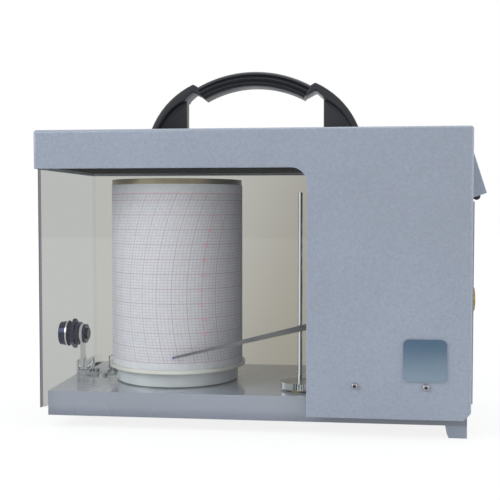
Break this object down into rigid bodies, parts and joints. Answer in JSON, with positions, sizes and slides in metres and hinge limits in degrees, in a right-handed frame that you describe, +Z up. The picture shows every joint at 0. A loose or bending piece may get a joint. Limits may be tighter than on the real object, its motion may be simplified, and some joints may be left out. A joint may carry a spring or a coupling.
{
  "type": "recording thermograph",
  "caption": "Drum-chart thermograph with a bimetal pen on a base tray, under a blue-grey cover with clear panes and a black carrying handle.",
  "frame": {"origin": "on the table, under the middle of the whole part's bounding box", "axes": "+X to the right along the front, +Y from the front to the back, +Z up"},
  "size_m": [0.299, 0.1356, 0.242],
  "materials": {
    "paint": "blue-grey stoved enamel with a fine orange peel",
    "clear": "clear acrylic, faintly warm",
    "seal": "dark grey foam strip",
    "black_plastic": "near-black moulded plastic",
    "rubber": "dark rubber",
    "chrome": "bright plated",
    "steel": "plain turned or cut steel",
    "aluminium": "plain sheet aluminium",
    "brass": "turned brass, a little dulled",
    "drum_metal": "dull olive-grey metal tube",
    "cream": "cream moulded plastic",
    "paper": "bluish-white chart paper with a fine printed grid",
    "arm_metal": "grey satin blade",
    "nib": "violet fibre tip",
    "bimetal": "coppery bimetal strip",
    "cell": null,
    "badge": "bare teal plate"
  },
  "bodies": {
    "base": {"base_tray": "paint", "foot_front_right": "paint", "foot_rear_right": "paint", "foot_left": "paint", "foot_screws": "steel", "clock_housing": "cream", "clock_motor": "black_plastic", "battery": "cell", "battery_clip": "black_plastic", "drum_spindle": "steel", "spindle_nut": "steel", "drum_nut": "brass", "keeper": "steel", "plate_screws": "steel", "frame_front": "aluminium", "frame_rear": "aluminium", "frame_pillars": "steel", "frame_screws": "steel", "axle_bush": "brass", "lifter_bush": "brass"},
    "drum": {"drum_flange": "cream", "drum_gear": "brass", "drum_shell": "drum_metal", "drum_cap": "aluminium", "drum_bushes": "brass", "chart_paper": "paper", "chart_clip": "steel"},
    "pinion": {"motor_pinion": "brass"},
    "stop": {"drum_stop": "steel"},
    "axle": {"pen_axle": "steel", "pen_yoke": "brass", "balance_weight": "brass", "coil_collet": "brass", "gate_pin": "steel"},
    "arm": {"pen_arm": "arm_metal", "pen_nib": "nib"},
    "zero": {"zero_knob": "brass", "bimetal_coil": "bimetal"},
    "lifter": {"lifter_knob": "chrome", "lifter_rod": "chrome", "lifter_clip": "steel"},
    "cover": {"cover_shell": "paint", "window_front": "clear", "window_left": "clear", "window_back": "clear", "pane_seal": "seal", "rest_strip": "clear", "ledges": "aluminium", "panel_screws": "chrome", "badge_plate": "badge", "handle": "black_plastic", "handle_screws": "steel", "side_hood": "paint", "hood_buffers": "rubber", "side_guard": "paint", "guard_screws": "brass", "lock_body": "chrome", "lock_nut": "steel"},
    "lock": {"lock_plug": "chrome", "lock_cam": "steel"}
  },
  "joints": [
    {"name": "cover_lift", "type": "slide", "parent": "base", "child": "cover", "axis": [0, 0, 1], "range_m": [0, 0.2]},
    {"name": "lock_turn", "type": "hinge", "parent": "cover", "child": "lock", "pos_m": [-0.14, 0, 0.055], "axis": [1, 0, 0], "range_deg": [0, 30]},
    {"name": "drum_turn", "type": "hinge", "parent": "base", "child": "drum", "pos_m": [-0.0625, 0, 0.1], "axis": [0, 0, 1], "continuous": true},
    {"name": "pinion_turn", "type": "hinge", "parent": "base", "child": "pinion", "pos_m": [-0.0336, 0, 0.03], "axis": [0, 0, 1], "continuous": true},
    {"name": "pen_swing", "type": "hinge", "parent": "base", "child": "axle", "pos_m": [0.116, 0, 0.086], "axis": [0, 1, 0], "range_deg": [-1.5, 36], "stiffness_Nm_per_rad": 0.2},
    {"name": "pen_gate", "type": "hinge", "parent": "axle", "child": "arm", "pos_m": [0.10626, -0.024, 0.08375], "axis": [-0.225, 0, 0.9743], "range_deg": [0, 3.2]},
    {"name": "lifter_turn", "type": "hinge", "parent": "base", "child": "lifter", "pos_m": [0.028, -0.037, 0.03], "axis": [0, 0, 1], "range_deg": [0, 90]},
    {"name": "zero_turn", "type": "hinge", "parent": "base", "child": "zero", "pos_m": [0.116, 0, 0.086], "axis": [0, 1, 0], "range_deg": [-8, 8]},
    {"name": "stop_swing", "type": "hinge", "parent": "base", "child": "stop", "pos_m": [-0.116, 0.0186, 0.025], "axis": [0, 0, 1], "range_deg": [0, 70]}
  ],
  "couplings": [
    {"joint": "pinion_turn", "follows": "drum_turn", "ratio": -5},
    {"joint": "pen_gate", "follows": "lifter_turn", "ratio": 0.03}
  ]
}
